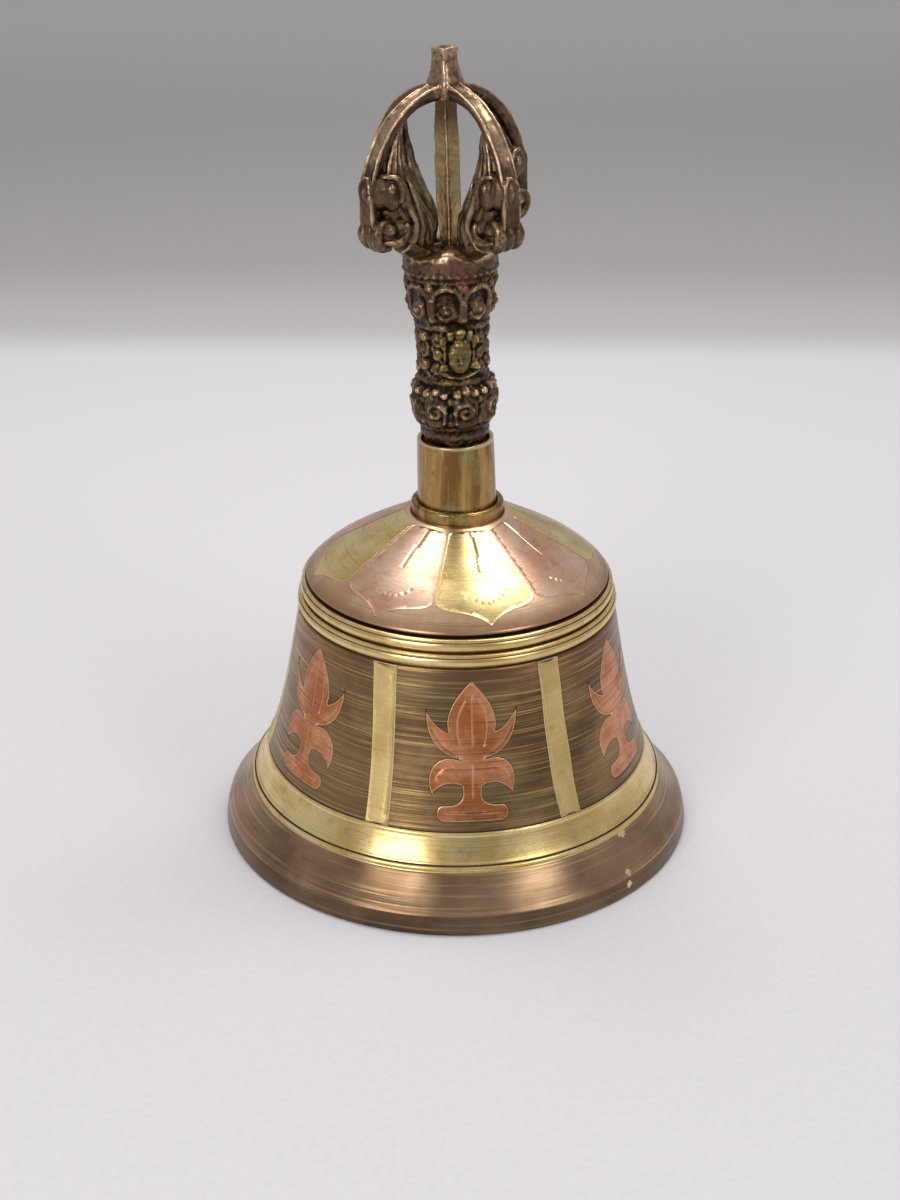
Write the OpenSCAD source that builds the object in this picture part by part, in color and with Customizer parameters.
// Tibetan hand bell: a turned bell metal cup with let-in copper and brass sheets, a brass
// socket, a cast handle with a four-pronged cage at its top, and a clapper on a wire link.
// Millimetres. +Z is up, Z = 0 is the plane that the lip rests on, and the axis of the cup
// is the Z axis. The front of the bell is the -Y side.

/* [Cup] */
// Radius of the wall just under the shoulder moulding
wall_top_r = 30.1; // [28:0.1:33]
// How much the wall's radius grows for each millimetre down
wall_taper = 0.157; // [0.1:0.005:0.2]
// How far the flare adds to the wall's radius at the lip
flare = 12.9; // [8:0.1:16]
// Height over which the flare fades
flare_fade = 9.5; // [7:0.1:12]
// Radius of the lip where it rests
lip_foot_r = 45.9; // [45.5:0.1:46.5]
// Height of the lip's upper edge
lip_edge_z = 4; // [3:0.1:5]
// Thickness of the wall
wall_t = 2.3; // [1.8:0.1:2.6]
// Width of the flat ring that the lip rests on
lip_ring_w = 4.2; // [3:0.1:5]
// Height of the foot of the shoulder moulding
moulding_z = 46; // [45:0.1:47]
// Height of the dome's edge
dome_edge_z = 52.4; // [52:0.1:53]
// Radius of the dome's edge
dome_edge_r = 28.7; // [27.5:0.1:29]
// Height of the dome at the collar
crown_z = 64.7; // [64:0.1:66]
// Slope of the dome next to the collar
dome_slope = 0.53; // [0.45:0.01:0.58]
// Thickness of the dome
dome_t = 2.6; // [2:0.1:3]
// Height of the brass band's lower edge
band_low_z = 10.3; // [9.5:0.1:11]
// Height of the brass band's upper edge
band_high_z = 16.2; // [15:0.1:17]

/* [Inlays] */
// Depth of the sheets let into the cup
inlay_t = 0.4; // [0.2:0.05:0.6]
// Number of petals on the dome, brass and copper in turn
petal_count = 8; // [8]
// Direction of the first brass petal, from the front towards +X
petal_turn = 13; // [0:1:44]
// Gap between two petals
petal_gap = 0.2; // [0.1:0.05:0.6]
// Number of panels round the wall
panel_count = 6; // [6]
// Direction of the first upright bar, from the front towards +X
bar_turn = 35; // [30:1:40]
// Width of an upright bar
bar_w = 4.9; // [3:0.1:6]
// Height of a panel's ornament
motif_h = 26; // [20:0.5:26]

/* [Socket] */
// Radius of the ferrule at its foot
ferrule_foot_r = 7.36; // [7.2:0.02:7.6]
// Radius of the ferrule at its top
ferrule_top_r = 7; // [6.9:0.02:7.1]
// Radius of the ferrule's bore
ferrule_bore_r = 6.2; // [6:0.05:6.3]
// Height of the ferrule's top
ferrule_top_z = 79; // [77:0.5:81]
// Radius of the collar ring
collar_r = 8.65; // [8.3:0.05:9]
// Height of the collar ring's top
collar_top_z = 66.9; // [66.5:0.1:68]

/* [Handle] */
// Lean of the handle towards -X, in degrees
handle_lean = 1.8; // [0:0.1:2]
// Height of the top of the lotus cup
cup_top_z = 113.3; // [113:0.1:113.6]
// Direction of a side of the square rod, from +X towards +Y
rod_turn = 45; // [30:1:60]
// Direction of one boss in each lotus band, from +X towards +Y
lotus_turn = 40; // [0:1:44]
// Reach of a prong from the handle's axis
prong_reach = 18; // [17.6:0.1:18.4]
// Rise of a prong's arc above the middle of its head
prong_rise = 19; // [18.5:0.1:19.5]
// Thickness of a prong along its reach
prong_t = 2.1; // [1.8:0.1:2.4]
// Width of a prong at its foot
prong_foot_w = 3.7; // [3:0.1:3.9]
// Width of a prong at the hub
prong_hub_w = 3; // [2:0.1:3.2]
// Width of a makara head
head_w = 6.2; // [5:0.1:6.4]
// Height of the tip
tip_z = 149.1; // [147:0.1:150]
// Side of the square rod in the cage
rod_side = 3.4; // [2.8:0.1:3.6]

/* [Clapper] */
// Radius of the bolt's shank
bolt_r = 2.5; // [2:0.1:2.5]
// Radius of the eye's wire, of the bolt and of the clapper
eye_wire_r = 1; // [0.9:0.05:1.1]
// Radius of the link's wire
link_wire_r = 0.8; // [0.6:0.05:0.9]
// Gap between two wires that hang in each other
hang_gap = 0.15; // [0.1:0.01:0.25]
// Height of the hinge between the bolt's eye and the link
link_pivot_z = 49.3; // [49:0.1:49.5]
// Straight length of the link's sides
link_side = 4; // [3.5:0.1:5]
// Radius of the bob
bob_r = 6.5; // [5:0.1:7]
// Height of the middle of the bob
bob_z = 12.5; // [11:0.1:14]

/* [Hidden] */
$fn = 96;

BRASS = "#c9a84e";
COPPER = "#b8735a";
PATINA = "#6b5a3c";
DARK_BRONZE = "#574638";
STEEL = "#9a9a98";
RESIN = "#5a3a22";

DEGREES = 360;
PRONG_TURNS = [44, 136, 219, 307]; // direction of each prong, from +X towards +Y
CUT = 1;               // how far a cutter reaches past a face
FRONT = -90;           // direction of the front, from +X

seat_z = 64;           // flat seat of the ferrule and the collar on the crown
seat_r = collar_r + 0.1;
crown_in_z = 61;       // flat under the crown
crown_in_r = 7;
shoulder_drop = 1.67;  // how much more the dome falls at its edge than its slope gives
shoulder_power = 6;
dome_in_r = 25.9;      // where the inside of the dome turns into the shoulder
shoulder_in_t = 0.5;   // how much thicker the shoulder is than the wall
shoulder_in_z = moulding_z + 3.5;
lip_bevel = 0.4;       // height of the bevel round the foot of the lip
lip_in_z = 7;          // where the inner wall turns out towards the lip
lip_extra_t = 0.4;     // how much thicker the wall grows towards the lip

wall_steps = 12;
dome_steps = 10;
arc_steps = 16;

// Outer radius of the wall at a height, and height of the dome at a radius
function wall_r(z) =
    wall_top_r + wall_taper * (moulding_z - z) + flare * exp(-z / flare_fade);
function dome_z(r) =
    crown_z - dome_slope * (r - collar_r)
    - shoulder_drop * pow((r - collar_r) / (dome_edge_r - collar_r), shoulder_power);
// Point number i of n equal steps from a to b
function step_to(a, b, i, n) = a + (b - a) * i / n;
// Points of an arc in the plane of the profile
function arc(c, rx, ry, from, to, n) =
    [for (i = [0:n]) let (t = step_to(from, to, i, n)) [c[0] + rx * cos(t), c[1] + ry * sin(t)]];

function wall_points(low, high, inset) =
    [for (i = [0:wall_steps]) let (z = step_to(low, high, i, wall_steps)) [wall_r(z) - inset, z]];
function dome_points(from, to, inset) =
    [for (i = [0:dome_steps]) let (r = step_to(from, to, i, dome_steps)) [r, dome_z(r) - inset]];

// ---- cup ----

// Two round ribs between the wall and the dome: radius, height and place of each
rib_r = 1.3;
rib_arc = 75;
rib_steps = 6;
low_rib_z = moulding_z + rib_r;
high_rib_z = low_rib_z + 2 * rib_r + 0.1;
low_rib_at = dome_edge_r + 0.5;
high_rib_at = dome_edge_r - 0.2;
groove_z = high_rib_z + rib_r + 0.2;
groove_depth = 0.5;
bolt_play = 0.1;       // play of the bolt in the crown

module cup_solid() {
    rotate_extrude()
        polygon(concat(
            [[lip_foot_r - lip_ring_w, 0], [lip_foot_r - lip_bevel, 0], [lip_foot_r, lip_bevel]],
            wall_points(lip_edge_z, moulding_z, 0),
            arc([low_rib_at, low_rib_z], rib_r, rib_r, -rib_arc, rib_arc, rib_steps),
            arc([high_rib_at, high_rib_z], rib_r, rib_r, -rib_arc, rib_arc, rib_steps),
            [[dome_edge_r - groove_depth, groove_z], [dome_edge_r, dome_edge_z - lip_bevel]],
            dome_points(dome_edge_r, seat_r, 0),
            [[seat_r, seat_z], [bolt_r + bolt_play, seat_z], [bolt_r + bolt_play, crown_in_z]],
            [[crown_in_r, crown_in_z]],
            dome_points(crown_in_r + 1.5, dome_in_r, dome_t),
            [[wall_r(moulding_z) - wall_t - shoulder_in_t, shoulder_in_z]],
            [for (i = [0:wall_steps]) let (z = step_to(moulding_z, lip_in_z, i, wall_steps))
                [wall_r(z) - wall_t - lip_extra_t * exp(-z / flare_fade), z]]
        ));
}

module bell_cup() {
    color(PATINA)
        difference() {
            cup_solid();
            for (i = [0:petal_count - 1])
                petal(i, CUT);
            for (i = [0:panel_count - 1]) {
                bar(i, CUT);
                motif(i, CUT);
            }
        }
}

// ---- sheets let into the cup ----

skin_in_r = collar_r + 0.4;
skin_out_r = dome_edge_r - 0.3;

// A skin of the dome or of the wall, from inlay_t deep to proud millimetres outside
module dome_skin(proud) {
    rotate_extrude()
        polygon(concat(
            dome_points(skin_in_r, skin_out_r, inlay_t),
            dome_points(skin_out_r, skin_in_r, -proud)
        ));
}

module wall_skin(proud) {
    rotate_extrude()
        polygon(concat(
            wall_points(band_high_z, moulding_z, inlay_t),
            [for (i = [wall_steps:-1:0])
                let (z = step_to(band_high_z, moulding_z, i, wall_steps)) [wall_r(z) + proud, z]]
        ));
}

// Petal: straight sides next to its neighbours, then a bracket end with a pointed tip
petal_in_r = collar_r + 0.8;
petal_side_r = 22.3;
petal_tip_r = 27.9;
petal_half = DEGREES / petal_count / 2;
dome_reach = 5;        // how far a petal's outline is swept past the dome, both ways

// How far out the end has come at share u of the way from a corner to the middle
function bracket(u) = 0.62 * sqrt(1 - pow(1 - u, 2)) + 0.38 * pow(u, 3.5);
// Half width of a petal at a radius, along its straight sides
function petal_w(r) = r * tan(petal_half) - petal_gap / 2;

function petal_end(side) =
    [for (i = [0:arc_steps])
        let (u = pow(i / arc_steps, 2))
        [
            petal_side_r + (petal_tip_r - petal_side_r) * bracket(u),
            side * petal_w(petal_side_r) * (1 - u)
        ]];

module petal_outline() {
    right = petal_end(-1);
    left = petal_end(1);
    polygon(concat(
        [[petal_in_r, petal_w(petal_in_r)], [petal_in_r, -petal_w(petal_in_r)]],
        right,
        [for (i = [arc_steps - 1:-1:0]) left[i]]
    ));
}

module petal(i, proud) {
    intersection() {
        dome_skin(proud);
        rotate([0, 0, FRONT + petal_turn + i * 2 * petal_half])
            translate([0, 0, dome_edge_z - dome_reach])
                linear_extrude(crown_z - dome_edge_z + 2 * dome_reach)
                    petal_outline();
    }
}

// Puts a flat outline on the wall, with the outline's x across the wall and its y up
module on_wall(turn) {
    rotate([0, 0, FRONT + turn])
        translate([wall_top_r / 2, 0, 0])
            rotate([90, 0, 90])
                linear_extrude(wall_top_r)
                    children();
}

// How far each bar is cut askew: to the side at its foot and at its top
bar_askew = [[0, -1.2], [0.4, -0.3], [-0.5, 0.3], [0.3, 0.6], [-0.4, 0.2], [1.4, 0]];

module bar(i, proud) {
    foot = bar_askew[i][0];
    top = bar_askew[i][1];
    half = bar_w / 2;
    intersection() {
        wall_skin(proud);
        on_wall(bar_turn + i * DEGREES / panel_count)
            polygon([
                [foot - half, band_high_z - CUT], [foot + half, band_high_z - CUT],
                [top + half, moulding_z + CUT], [top - half, moulding_z + CUT]
            ]);
    }
}

// Right half of the ornament, from the middle of its foot up to the tip of its bud. Each row
// is one curve: the two handles and the end point.
motif_curves = [
    [[1.6, 0], [3.6, 0], [5.2, 0]],
    [[7.1, 0], [7.1, 3], [5.2, 3]],
    [[3.2, 3], [2, 3.5], [1.8, 4.8]],
    [[1.8, 5.2], [1.8, 5.8], [1.9, 6.4]],
    [[3.6, 7.4], [6, 6.8], [7.4, 4.6]],
    [[9.2, 9.4], [6, 12.6], [2.4, 11.4]],
    [[5.4, 12], [8.6, 14.2], [8.2, 20.6]],
    [[7, 18.2], [5.8, 17], [4.3, 16.4]],
    [[5.2, 19.6], [3, 23], [0, 26]]
];
curve_steps = 8;

function bezier(a, b, c, d, t) =
    pow(1 - t, 3) * a + 3 * pow(1 - t, 2) * t * b + 3 * (1 - t) * t * t * c + pow(t, 3) * d;

// Lotus on a stem: a bud between two pairs of leaves, over a rounded foot
module motif_outline() {
    unit = motif_h / motif_curves[len(motif_curves) - 1][2][1];
    half = [
        for (k = [0:len(motif_curves) - 1])
            let (start = k == 0 ? [0, 0] : motif_curves[k - 1][2], row = motif_curves[k])
                for (i = [1:curve_steps])
                    unit * bezier(start, row[0], row[1], row[2], i / curve_steps)
    ];
    polygon(concat(
        [[0, 0]],
        half,
        [for (i = [len(half) - 2:-1:0]) [-half[i][0], half[i][1]]]
    ));
}

module motif(i, proud) {
    low = (band_high_z + moulding_z - motif_h) / 2;
    intersection() {
        wall_skin(proud);
        on_wall(bar_turn + (i + 0.5) * DEGREES / panel_count)
            translate([0, low])
                motif_outline();
    }
}

module petal_brass(k) {
    color(BRASS)
        petal(2 * (k - 1), 0);
}

module petal_copper(k) {
    color(COPPER)
        petal(2 * (k - 1) + 1, 0);
}

module panel_bar(k) {
    color(BRASS)
        bar(k - 1, 0);
}

module panel_motif(k) {
    color(COPPER)
        motif(k - 1, 0);
}

// ---- socket ----

collar_round = 0.6;
ferrule_bevel = 0.3;
tube_low_z = collar_top_z - 0.5;   // where the leaning tube starts inside the collar
tube_less_r = 0.1;                 // how much narrower it is there than the upright foot
spigot_r = 5.9;
spigot_low_z = 71;
thread_top_z = 84;

// Leans what it holds about the seat on the crown
module lean() {
    translate([0, 0, seat_z])
        rotate([0, -handle_lean, 0])
            translate([0, 0, -seat_z])
                children();
}

// Everything at or above the seat
module above_seat() {
    translate([0, 0, seat_z])
        cylinder(r = collar_r, h = tip_z - seat_z);
}

module collar_ring() {
    color(BRASS)
        rotate_extrude()
            polygon(concat(
                [[ferrule_foot_r, seat_z], [collar_r, seat_z]],
                arc([collar_r - collar_round, collar_top_z - collar_round],
                    collar_round, collar_round, 0, 90, 6),
                [[ferrule_foot_r, collar_top_z]]
            ));
}

// Upright foot in the collar, and a leaning tube above it
module ferrule() {
    color(BRASS)
        difference() {
            union() {
                translate([0, 0, seat_z])
                    cylinder(r = ferrule_foot_r, h = collar_top_z - seat_z);
                lean()
                    rotate_extrude()
                        polygon([
                            [0, tube_low_z],
                            [ferrule_foot_r - tube_less_r, tube_low_z],
                            [ferrule_top_r, ferrule_top_z - ferrule_bevel],
                            [ferrule_top_r - ferrule_bevel, ferrule_top_z],
                            [0, ferrule_top_z]
                        ]);
            }
            lean()
                translate([0, 0, seat_z - CUT])
                    cylinder(r = ferrule_bore_r, h = ferrule_top_z - seat_z + 2 * CUT);
        }
}

module socket_fill() {
    color(RESIN)
        difference() {
            intersection() {
                lean()
                    translate([0, 0, seat_z - CUT])
                        cylinder(r = ferrule_bore_r, h = spigot_low_z - seat_z + CUT);
                above_seat();
            }
            translate([0, 0, seat_z - CUT])
                cylinder(r = bolt_r, h = spigot_low_z - seat_z + 2 * CUT);
        }
}

// ---- handle ----

lumps = 8;             // round bosses in each of the two lotus bands
lump_r = 2;
lump_out = 5.6;
low_lumps_z = 87.4;
high_lumps_z = 104.9;
face_turn = 12;        // the face on the waist, from the front towards +X
face_r = 3.5;
face_out = 3.4;
face_z = 96.8;
rod_seat_h = 1.2;      // raised seat of the square rod on the lotus cup

// Section of the shaft: spigot, lower lotus band, waist, crown and upper lotus cup
shaft_section = [
    [0, spigot_low_z], [spigot_r, spigot_low_z], [spigot_r, ferrule_top_z], [6, 81],
    [6.8, 82.2], [6.9, 83.6], [6.6, 84.8], [7, 86], [7, 89.2], [6.5, 91], [6, 92.6],
    [5.9, 96], [6, 99], [6.6, 100.4], [6.4, 101.6], [7, 103.2],
    [7.5, 106], [8, 108.4], [8.4, 110.4], [8.5, 112],
    [8, cup_top_z], [3.1, cup_top_z],
    [2.9, cup_top_z + rod_seat_h], [0, cup_top_z + rod_seat_h]
];

module lump_ring(z) {
    for (i = [0:lumps - 1])
        rotate([0, 0, lotus_turn + i * DEGREES / lumps])
            translate([lump_out, 0, z])
                sphere(lump_r, $fn = 32);
}

module handle_shaft() {
    color(DARK_BRONZE)
        difference() {
            lean() {
                rotate_extrude()
                    polygon(shaft_section);
                lump_ring(low_lumps_z);
                lump_ring(high_lumps_z);
                rotate([0, 0, FRONT + face_turn])
                    translate([face_out, 0, face_z])
                        sphere(face_r, $fn = 48);
            }
            translate([0, 0, spigot_low_z - CUT])
                cylinder(r = bolt_r, h = thread_top_z - spigot_low_z + CUT);
        }
}

// ---- cage ----

head_z = 124;          // middle of the prong's arc
prong_from = -9;       // where a prong's arc starts, in degrees above level
prong_low_z = 118;     // height where a prong has its full width
hub_r = 2.7;           // round hub that the prongs end on
hub_low_z = 140.6;
hub_high_z = 143.2;
// Rolls of a makara head: reach, height and radius of each, and how far it falls short of head_w
head_rolls = [
    [14.9, 126.6, 3.1, 0],
    [14.4, 119.8, 2.9, 0.6],
    [10.4, 119.4, 2.4, 0.4]
];
mane_less_w = 2;       // how much narrower the mane is than the head
// Mane, from its root on the lotus cup up the inner side of the prong to its tip
mane_points = [
    [3.5, cup_top_z], [7.6, cup_top_z], [11, 115.6], [14, 119], [14.5, 126],
    [13.6, 129], [12, 132], [9.2, 136], [9.6, 133], [8.9, 130.3], [8.3, 127.6],
    [6.6, 125.2], [4.8, 121.8], [4.4, 117]
];

// Outline of a prong in the plane through the handle's axis
module prong_outline() {
    in_reach = prong_reach - prong_t;
    in_rise = prong_rise - prong_t;
    polygon(concat(
        arc([0, head_z], prong_reach, prong_rise,
            prong_from, 90, arc_steps),
        arc([0, head_z], in_reach, in_rise,
            90, prong_from, arc_steps)
    ));
}

// Stands an outline in the plane through the handle's axis, w wide
module upright(w) {
    rotate([90, 0, 0])
        translate([0, 0, -w / 2])
            linear_extrude(w)
                children();
}

module head_roll(x, z, r, w) {
    translate([x, 0, z])
        rotate([90, 0, 0])
            cylinder(r = r, h = w, center = true, $fn = 48);
}

module outer_prong(k) {
    color(DARK_BRONZE)
        lean()
            rotate([0, 0, PRONG_TURNS[k - 1]]) {
                difference() {
                    intersection() {
                        upright(prong_foot_w + CUT)
                            prong_outline();
                        rotate([90, 0, 90])
                            linear_extrude(2 * prong_reach)
                                polygon([
                                    [-prong_foot_w / 2, prong_low_z],
                                    [prong_foot_w / 2, prong_low_z],
                                    [prong_hub_w / 2, head_z + prong_rise],
                                    [-prong_hub_w / 2, head_z + prong_rise]
                                ]);
                    }
                    translate([0, 0, hub_low_z - 2 * CUT])
                        cylinder(r = hub_r, h = hub_high_z - hub_low_z + 4 * CUT);
                }
                upright(head_w - mane_less_w)
                    polygon(mane_points);
                for (roll = head_rolls)
                    head_roll(roll[0], roll[1], roll[2], head_w - roll[3]);
            }
}

// Four-sided bar whose half width follows one outline on all four sides
module square_bar(outline) {
    profile = concat(outline, [for (i = [len(outline) - 1:-1:0]) [-outline[i][0], outline[i][1]]]);
    lean()
        rotate([0, 0, rod_turn])
            intersection() {
                upright(2 * hub_r)
                    polygon(profile);
                rotate([0, 0, 90])
                    upright(2 * hub_r)
                        polygon(profile);
            }
}

rod_foot_less = 0.45;  // how much narrower each half of the rod is at its foot
rod_top_less = 0.3;    // and at the hub
rod_full_low_z = 121;
rod_full_high_z = 134;
tip_flare = 1.2;       // height of the wider foot of the tip
tip_foot_more = 0.15;

module center_prong() {
    half = rod_side / 2;
    color(BRASS)
        square_bar([
            [half - rod_foot_less, cup_top_z + rod_seat_h],
            [half, rod_full_low_z],
            [half, rod_full_high_z],
            [half - rod_top_less, hub_low_z]
        ]);
}

// Round hub with a square tip on it
module prong_hub() {
    half = rod_side / 2;
    color(DARK_BRONZE) {
        lean()
            translate([0, 0, hub_low_z])
                cylinder(r = hub_r, h = hub_high_z - hub_low_z);
        square_bar([
            [half + tip_foot_more, hub_high_z - CUT],
            [half + tip_foot_more, hub_high_z + tip_flare],
            [half, tip_z]
        ]);
    }
}

// ---- clapper hanging ----

eye_r = 3.2;                                // centre line of the bolt's eye
rod_eye_r = 2.6;                            // centre line of the clapper's eye
link_r = 2;                                 // centre line of the link's ends
wire_drop = eye_wire_r + link_wire_r + hang_gap;
link_high_z = link_pivot_z + wire_drop - link_r;
link_low_z = link_high_z - link_side;
rod_pivot_z = link_low_z - link_r;
rod_eye_z = rod_pivot_z + wire_drop - rod_eye_r;
washer_t = 1;
washer_r = 5.6;
washer_play = 0.15;
nut_t = 3.5;
nut_af = 8;                                 // across flats
thread_end = 1;                             // gap above the bolt in its hole in the handle
shank_lap = 0.4;                            // how far the shank runs down into its eye
shank_low_z = link_pivot_z + 2 * eye_r - shank_lap;
rod_lap = 0.2;                              // how far the rod runs up into its eye
rod_end = 1.2;                              // how far the rod stands out below the bob
bob_foot_r = 2.6;                           // flat foot and neck of the bob
bob_neck_r = 2.3;
bob_neck = 1.2;
bob_neck_chamfer = 0.8;

module wire_ring(r, wire) {
    rotate([90, 0, 0])
        rotate_extrude($fn = 48)
            translate([r, 0])
                circle(wire, $fn = 24);
}

module eye_bolt() {
    color(STEEL) {
        translate([0, 0, shank_low_z])
            cylinder(r = bolt_r, h = thread_top_z - thread_end - shank_low_z);
        translate([0, 0, link_pivot_z + eye_r])
            wire_ring(eye_r, eye_wire_r);
    }
}

module crown_washer() {
    color(BRASS)
        difference() {
            translate([0, 0, crown_in_z - washer_t])
                cylinder(r = washer_r, h = washer_t);
            translate([0, 0, crown_in_z - washer_t - CUT])
                cylinder(r = bolt_r + washer_play, h = washer_t + 2 * CUT);
        }
}

module bolt_nut() {
    nut_z = crown_in_z - washer_t - nut_t;
    color(STEEL)
        difference() {
            translate([0, 0, nut_z])
                cylinder(r = nut_af / sqrt(3), h = nut_t, $fn = 6);
            translate([0, 0, nut_z - CUT])
                cylinder(r = bolt_r, h = nut_t + 2 * CUT);
        }
}

module half_ring(r, wire) {
    rotate([0, 90, 0])
        rotate_extrude(angle = 180, $fn = 48)
            translate([r, 0])
                circle(wire, $fn = 24);
}

module clapper_link() {
    color(STEEL) {
        translate([0, 0, link_high_z])
            rotate([90, 0, 0])
                half_ring(link_r, link_wire_r);
        translate([0, 0, link_low_z])
            rotate([-90, 0, 0])
                half_ring(link_r, link_wire_r);
        for (side = [-1, 1])
            translate([0, side * link_r, link_low_z])
                cylinder(r = link_wire_r, h = link_side, $fn = 24);
    }
}

rod_r = 1.4;
rod_low_z = bob_z - bob_r - rod_end;

module clapper_rod() {
    color(STEEL) {
        translate([0, 0, rod_eye_z])
            wire_ring(rod_eye_r, eye_wire_r);
        translate([0, 0, rod_low_z])
            cylinder(r = rod_r, h = rod_eye_z - rod_eye_r - rod_low_z + rod_lap, $fn = 32);
    }
}

module clapper_bob() {
    color(STEEL)
        difference() {
            rotate_extrude()
                polygon(concat(
                    [[rod_r, bob_z - bob_r], [bob_foot_r, bob_z - bob_r]],
                    arc([0, bob_z], bob_r, bob_r, -60, 55, arc_steps),
                    [[bob_neck_r, bob_z + bob_r + bob_neck]],
                    [[rod_r, bob_z + bob_r + bob_neck + bob_neck_chamfer]]
                ));
            translate([0, 0, bob_z - bob_r - CUT])
                cylinder(r = rod_r, h = 2 * bob_r + 4 * CUT, $fn = 32);
        }
}

bell_cup();
for (k = [1:petal_count / 2]) {
    petal_brass(k);
    petal_copper(k);
}
for (k = [1:panel_count]) {
    panel_bar(k);
    panel_motif(k);
}
collar_ring();
ferrule();
socket_fill();
handle_shaft();
for (k = [1:len(PRONG_TURNS)])
    outer_prong(k);
center_prong();
prong_hub();
eye_bolt();
crown_washer();
bolt_nut();
clapper_link();
clapper_rod();
clapper_bob();
